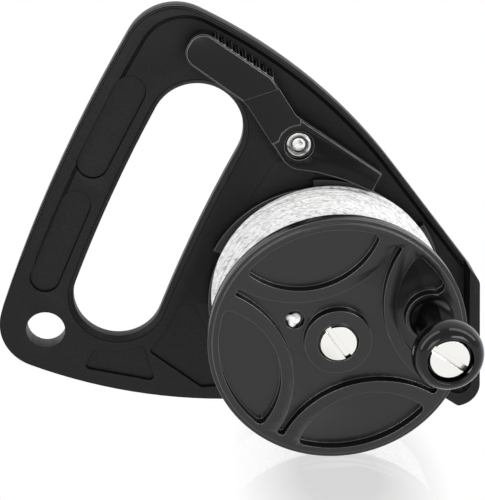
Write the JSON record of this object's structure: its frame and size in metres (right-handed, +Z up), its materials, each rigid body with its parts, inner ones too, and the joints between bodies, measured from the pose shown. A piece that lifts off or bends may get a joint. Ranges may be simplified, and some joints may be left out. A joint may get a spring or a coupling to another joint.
{
  "type": "dive reel",
  "caption": "hand-held dive reel with a triangular grip frame, a line spool with a ratchet rim, a thumb brake lever and a winding knob",
  "frame": {"origin": "on the spool axis at the frame's flat back face", "axes": "X to the right and Z up as the front is seen, Y away from the viewer along the spool axis"},
  "size_m": [0.1817, 0.0895, 0.1541],
  "materials": {
    "frame_plastic": "fine moulded texture",
    "spool_plastic": "satin moulded",
    "knob_plastic": "polished",
    "bright_metal": "bright nickel plate",
    "plain_steel": "plain",
    "insert_brass": "knurled",
    "bearing_plastic": "natural acetal",
    "white_line": "braided"
  },
  "bodies": {
    "frame": {"frame_body": "frame_plastic", "axle_bolt": "bright_metal", "axle_sleeve": "plain_steel", "axle_nut": "plain_steel", "hub_thrust_washer": "bearing_plastic", "rear_thrust_washer": "bearing_plastic", "lever_pivot_sleeve": "bright_metal", "lever_pivot_screw": "bright_metal", "lever_pivot_insert": "insert_brass", "lever_spring": "plain_steel"},
    "spool": {"spool_body": "spool_plastic", "ratchet_flange": "spool_plastic", "hub_bush": "bearing_plastic", "line_core": "white_line", "line_winding": "white_line", "line_knot": "white_line", "knob_axle_screw": "bright_metal", "knob_washer": "bearing_plastic", "knob_insert": "insert_brass"},
    "knob": {"winding_knob": "knob_plastic"},
    "lever": {"brake_lever": "spool_plastic"}
  },
  "joints": [
    {"name": "spool_spin", "type": "hinge", "parent": "frame", "child": "spool", "pos_m": [0, 0, 0], "axis": [0, -1, 0], "continuous": true},
    {"name": "knob_spin", "type": "hinge", "parent": "spool", "child": "knob", "pos_m": [0.03197, 0, 0.0086], "axis": [0, -1, 0], "continuous": true},
    {"name": "lever_pivot", "type": "hinge", "parent": "frame", "child": "lever", "pos_m": [-0.01067, 0, 0.05931], "axis": [0, -1, 0], "range_deg": [0, 3], "stiffness_Nm_per_rad": 0.3, "springref_deg": -5.73}
  ]
}
